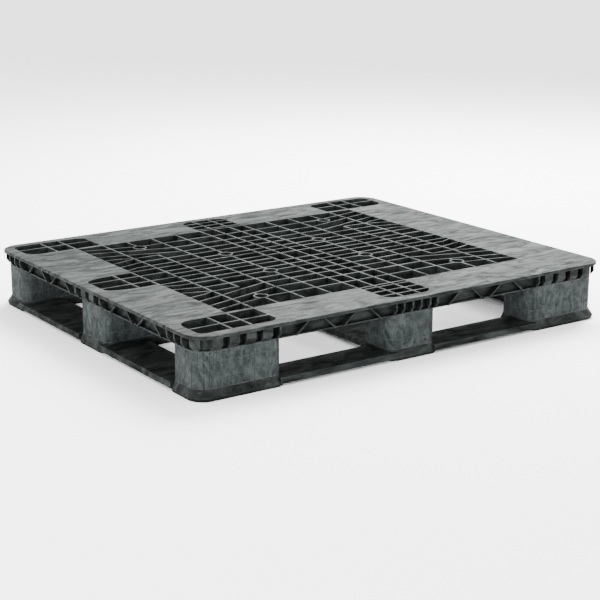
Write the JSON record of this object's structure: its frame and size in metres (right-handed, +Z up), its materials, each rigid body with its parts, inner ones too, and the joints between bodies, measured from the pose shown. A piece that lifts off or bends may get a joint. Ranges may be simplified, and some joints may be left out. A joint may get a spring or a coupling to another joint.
{
  "type": "plastic pallet",
  "caption": "Four-way plastic block pallet with an open grid deck, solid edge plates and a perimeter bottom frame with a cross.",
  "frame": {"origin": "middle of the rectangle that the nine feet stand on, on the floor", "axes": "+X along the long side, to the right in the front view; +Y to the rear; +Z up"},
  "size_m": [1.219, 1.016, 0.15],
  "materials": {
    "deck_plastic": "matte",
    "block_plastic": "matte",
    "frame_plastic": "matte",
    "screw_steel": "satin"
  },
  "bodies": {
    "root": {"top_deck": "deck_plastic", "block_front_left": "block_plastic", "block_front_centre": "block_plastic", "block_front_right": "block_plastic", "block_middle_left": "block_plastic", "block_middle_centre": "block_plastic", "block_middle_right": "block_plastic", "block_rear_left": "block_plastic", "block_rear_centre": "block_plastic", "block_rear_right": "block_plastic", "bottom_frame": "frame_plastic", "deck_screws_front_left": "screw_steel", "deck_screws_front_centre": "screw_steel", "deck_screws_front_right": "screw_steel", "deck_screws_middle_left": "screw_steel", "deck_screws_middle_centre": "screw_steel", "deck_screws_middle_right": "screw_steel", "deck_screws_rear_left": "screw_steel", "deck_screws_rear_centre": "screw_steel", "deck_screws_rear_right": "screw_steel", "base_screws_front_left": "screw_steel", "base_screws_front_centre": "screw_steel", "base_screws_front_right": "screw_steel", "base_screws_middle_left": "screw_steel", "base_screws_middle_centre": "screw_steel", "base_screws_middle_right": "screw_steel", "base_screws_rear_left": "screw_steel", "base_screws_rear_centre": "screw_steel", "base_screws_rear_right": "screw_steel"}
  },
  "joints": []
}
